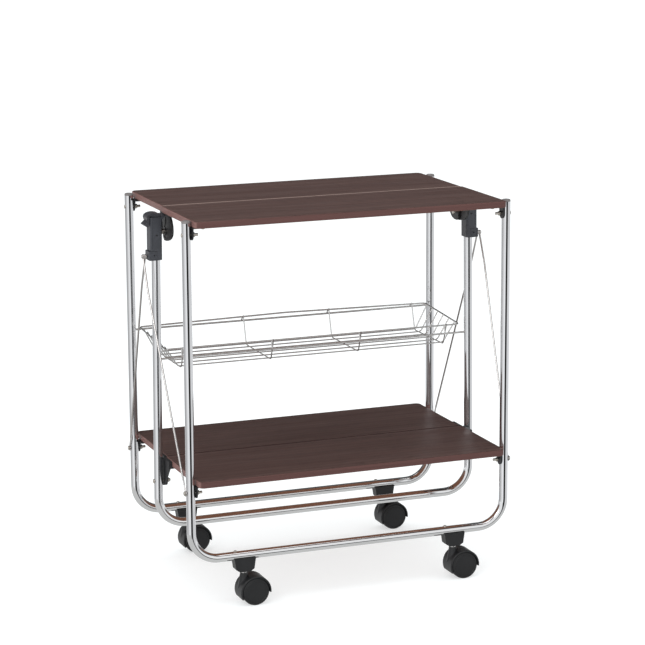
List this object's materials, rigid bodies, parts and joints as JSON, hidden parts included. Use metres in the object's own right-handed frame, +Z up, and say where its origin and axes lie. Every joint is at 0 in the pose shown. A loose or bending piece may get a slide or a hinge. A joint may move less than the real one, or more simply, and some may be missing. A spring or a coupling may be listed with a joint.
{
  "type": "folding serving trolley",
  "caption": "Folding serving trolley with chrome tube frames, hinged dark half shelves, a swing-in wire basket, latched side stays and swivel castors.",
  "frame": {"origin": "on the floor under the middle of the trolley's bounding box", "axes": "+X along the shelves to the right as seen from the front, +Y from front to back, +Z up"},
  "size_m": [0.6624, 0.389, 0.697],
  "materials": {
    "chrome_tube": "polished",
    "chrome_wire": "polished",
    "chrome_rod": "polished",
    "steel": "satin",
    "bolt_steel": "zinc plated",
    "dark_board": "satin dark veneer",
    "black_bracket": "fine grain",
    "housing_plastic": "fine grain",
    "lever_plastic": "fine grain",
    "cap_plastic": "satin",
    "castor_plastic": "satin",
    "wheel_plastic": "satin"
  },
  "bodies": {
    "back_frame": {"back_frame_tube": "chrome_tube", "back_post_caps": "cap_plastic", "back_frame_fasteners": "bolt_steel", "back_castor_sockets": "castor_plastic"},
    "back_top_shelf": {"back_top_board": "dark_board", "back_top_outer_brackets": "black_bracket", "back_top_hinge_plates": "black_bracket", "back_top_screws": "bolt_steel"},
    "middle_frame": {"middle_frame_tube": "chrome_tube", "middle_frame_fasteners": "bolt_steel", "left_latch_housing": "housing_plastic", "right_latch_housing": "housing_plastic", "housing_screws": "bolt_steel", "lever_pins": "bolt_steel"},
    "front_top_shelf": {"front_top_board": "dark_board", "front_top_outer_brackets": "black_bracket", "front_top_hinge_plates": "black_bracket", "front_top_screws": "bolt_steel"},
    "front_frame": {"front_frame_tube": "chrome_tube", "front_post_caps": "cap_plastic", "front_frame_fasteners": "bolt_steel", "front_castor_sockets": "castor_plastic"},
    "back_low_shelf": {"back_low_board": "dark_board", "back_low_outer_brackets": "black_bracket", "back_low_hinge_plates": "black_bracket", "back_low_screws": "bolt_steel"},
    "front_low_shelf": {"front_low_board": "dark_board", "front_low_outer_brackets": "black_bracket", "front_low_hinge_plates": "black_bracket", "front_low_screws": "bolt_steel"},
    "basket": {"basket_rim": "chrome_wire", "basket_cross_wires": "chrome_wire", "basket_floor_wires": "chrome_wire"},
    "left_slider": {"left_slider": "housing_plastic", "left_latch_tongue": "steel"},
    "left_release_lever": {"left_release_lever": "lever_plastic"},
    "left_back_stay_rod": {"left_back_stay_rod": "chrome_rod"},
    "left_front_stay_rod": {"left_front_stay_rod": "chrome_rod"},
    "right_slider": {"right_slider": "housing_plastic", "right_latch_tongue": "steel"},
    "right_release_lever": {"right_release_lever": "lever_plastic"},
    "right_back_stay_rod": {"right_back_stay_rod": "chrome_rod"},
    "right_front_stay_rod": {"right_front_stay_rod": "chrome_rod"},
    "front_left_castor": {"front_left_castor_hood": "castor_plastic", "front_left_castor_stem_axle": "steel"},
    "front_left_front_wheel": {"front_left_front_wheel": "wheel_plastic"},
    "front_left_back_wheel": {"front_left_back_wheel": "wheel_plastic"},
    "front_right_castor": {"front_right_castor_hood": "castor_plastic", "front_right_castor_stem_axle": "steel"},
    "front_right_front_wheel": {"front_right_front_wheel": "wheel_plastic"},
    "front_right_back_wheel": {"front_right_back_wheel": "wheel_plastic"},
    "back_left_castor": {"back_left_castor_hood": "castor_plastic", "back_left_castor_stem_axle": "steel"},
    "back_left_front_wheel": {"back_left_front_wheel": "wheel_plastic"},
    "back_left_back_wheel": {"back_left_back_wheel": "wheel_plastic"},
    "back_right_castor": {"back_right_castor_hood": "castor_plastic", "back_right_castor_stem_axle": "steel"},
    "back_right_front_wheel": {"back_right_front_wheel": "wheel_plastic"},
    "back_right_back_wheel": {"back_right_back_wheel": "wheel_plastic"}
  },
  "joints": [
    {"name": "fold", "type": "hinge", "parent": "back_frame", "child": "back_top_shelf", "pos_m": [0, 0.1685, 0.6715], "axis": [-1, 0, 0], "range_deg": [0, 75]},
    {"name": "middle_frame_lift", "type": "hinge", "parent": "back_top_shelf", "child": "middle_frame", "pos_m": [0, 0, 0.651], "axis": [1, 0, 0], "range_deg": [0, 75]},
    {"name": "front_top_shelf_hinge", "type": "hinge", "parent": "middle_frame", "child": "front_top_shelf", "pos_m": [0, 0, 0.651], "axis": [1, 0, 0], "range_deg": [0, 75]},
    {"name": "front_frame_hinge", "type": "hinge", "parent": "front_top_shelf", "child": "front_frame", "pos_m": [0, -0.1685, 0.6715], "axis": [-1, 0, 0], "range_deg": [0, 75]},
    {"name": "back_low_shelf_hinge", "type": "hinge", "parent": "back_frame", "child": "back_low_shelf", "pos_m": [0, 0.1685, 0.2145], "axis": [-1, 0, 0], "range_deg": [0, 75]},
    {"name": "front_low_shelf_hinge", "type": "hinge", "parent": "front_frame", "child": "front_low_shelf", "pos_m": [0, -0.1685, 0.2145], "axis": [1, 0, 0], "range_deg": [0, 75]},
    {"name": "basket_hinge", "type": "hinge", "parent": "back_frame", "child": "basket", "pos_m": [0, 0.1685, 0.44], "axis": [-1, 0, 0], "range_deg": [0, 75]},
    {"name": "left_back_rod_hinge", "type": "hinge", "parent": "back_frame", "child": "left_back_stay_rod", "pos_m": [-0.3114, 0.1685, 0.2145], "axis": [-1, 0, 0], "range_deg": [0, 14.71]},
    {"name": "left_front_rod_hinge", "type": "hinge", "parent": "front_frame", "child": "left_front_stay_rod", "pos_m": [-0.3114, -0.1685, 0.2145], "axis": [1, 0, 0], "range_deg": [0, 14.71]},
    {"name": "left_slider_slide", "type": "slide", "parent": "middle_frame", "child": "left_slider", "axis": [-0.0091, 0, -1], "range_m": [0, 0.14852]},
    {"name": "left_lever_press", "type": "hinge", "parent": "middle_frame", "child": "left_release_lever", "pos_m": [-0.30988, 0, 0.67155], "axis": [0, -1, 0], "range_deg": [0, 14], "stiffness_Nm_per_rad": 0.05, "springref_deg": -8.59},
    {"name": "right_back_rod_hinge", "type": "hinge", "parent": "back_frame", "child": "right_back_stay_rod", "pos_m": [0.3114, 0.1685, 0.2145], "axis": [-1, 0, 0], "range_deg": [0, 14.71]},
    {"name": "right_front_rod_hinge", "type": "hinge", "parent": "front_frame", "child": "right_front_stay_rod", "pos_m": [0.3114, -0.1685, 0.2145], "axis": [1, 0, 0], "range_deg": [0, 14.71]},
    {"name": "right_slider_slide", "type": "slide", "parent": "middle_frame", "child": "right_slider", "axis": [0.0091, 0, -1], "range_m": [0, 0.14852]},
    {"name": "right_lever_press", "type": "hinge", "parent": "middle_frame", "child": "right_release_lever", "pos_m": [0.30988, 0, 0.67155], "axis": [0, 1, 0], "range_deg": [0, 14], "stiffness_Nm_per_rad": 0.05, "springref_deg": -8.59},
    {"name": "front_left_castor_swivel", "type": "hinge", "parent": "front_frame", "child": "front_left_castor", "pos_m": [-0.2055, -0.1685, 0.06], "axis": [0, 0, 1], "continuous": true},
    {"name": "front_left_front_wheel_roll", "type": "hinge", "parent": "front_left_castor", "child": "front_left_front_wheel", "pos_m": [-0.1885, -0.1785, 0.025], "axis": [0, 1, 0], "continuous": true},
    {"name": "front_left_back_wheel_roll", "type": "hinge", "parent": "front_left_castor", "child": "front_left_back_wheel", "pos_m": [-0.1885, -0.1585, 0.025], "axis": [0, 1, 0], "continuous": true},
    {"name": "front_right_castor_swivel", "type": "hinge", "parent": "front_frame", "child": "front_right_castor", "pos_m": [0.2005, -0.1685, 0.06], "axis": [0, 0, 1], "continuous": true},
    {"name": "front_right_front_wheel_roll", "type": "hinge", "parent": "front_right_castor", "child": "front_right_front_wheel", "pos_m": [0.2175, -0.1785, 0.025], "axis": [0, 1, 0], "continuous": true},
    {"name": "front_right_back_wheel_roll", "type": "hinge", "parent": "front_right_castor", "child": "front_right_back_wheel", "pos_m": [0.2175, -0.1585, 0.025], "axis": [0, 1, 0], "continuous": true},
    {"name": "back_left_castor_swivel", "type": "hinge", "parent": "back_frame", "child": "back_left_castor", "pos_m": [-0.203, 0.1685, 0.06], "axis": [0, 0, 1], "continuous": true},
    {"name": "back_left_front_wheel_roll", "type": "hinge", "parent": "back_left_castor", "child": "back_left_front_wheel", "pos_m": [-0.186, 0.1585, 0.025], "axis": [0, 1, 0], "continuous": true},
    {"name": "back_left_back_wheel_roll", "type": "hinge", "parent": "back_left_castor", "child": "back_left_back_wheel", "pos_m": [-0.186, 0.1785, 0.025], "axis": [0, 1, 0], "continuous": true},
    {"name": "back_right_castor_swivel", "type": "hinge", "parent": "back_frame", "child": "back_right_castor", "pos_m": [0.203, 0.1685, 0.06], "axis": [0, 0, 1], "continuous": true},
    {"name": "back_right_front_wheel_roll", "type": "hinge", "parent": "back_right_castor", "child": "back_right_front_wheel", "pos_m": [0.22, 0.1585, 0.025], "axis": [0, 1, 0], "continuous": true},
    {"name": "back_right_back_wheel_roll", "type": "hinge", "parent": "back_right_castor", "child": "back_right_back_wheel", "pos_m": [0.22, 0.1785, 0.025], "axis": [0, 1, 0], "continuous": true}
  ],
  "couplings": [
    {"joint": "middle_frame_lift", "follows": "fold", "ratio": 1},
    {"joint": "front_top_shelf_hinge", "follows": "fold", "ratio": 1},
    {"joint": "front_frame_hinge", "follows": "fold", "ratio": 1},
    {"joint": "back_low_shelf_hinge", "follows": "fold", "ratio": 1},
    {"joint": "front_low_shelf_hinge", "follows": "fold", "ratio": 1},
    {"joint": "basket_hinge", "follows": "fold", "ratio": 1},
    {"joint": "left_back_rod_hinge", "follows": "fold", "ratio": 0.19549},
    {"joint": "left_front_rod_hinge", "follows": "fold", "ratio": 0.19549},
    {"joint": "left_slider_slide", "follows": "fold", "m_per_rad": 0.11315},
    {"joint": "right_back_rod_hinge", "follows": "fold", "ratio": 0.19549},
    {"joint": "right_front_rod_hinge", "follows": "fold", "ratio": 0.19549},
    {"joint": "right_slider_slide", "follows": "fold", "m_per_rad": 0.11315}
  ]
}
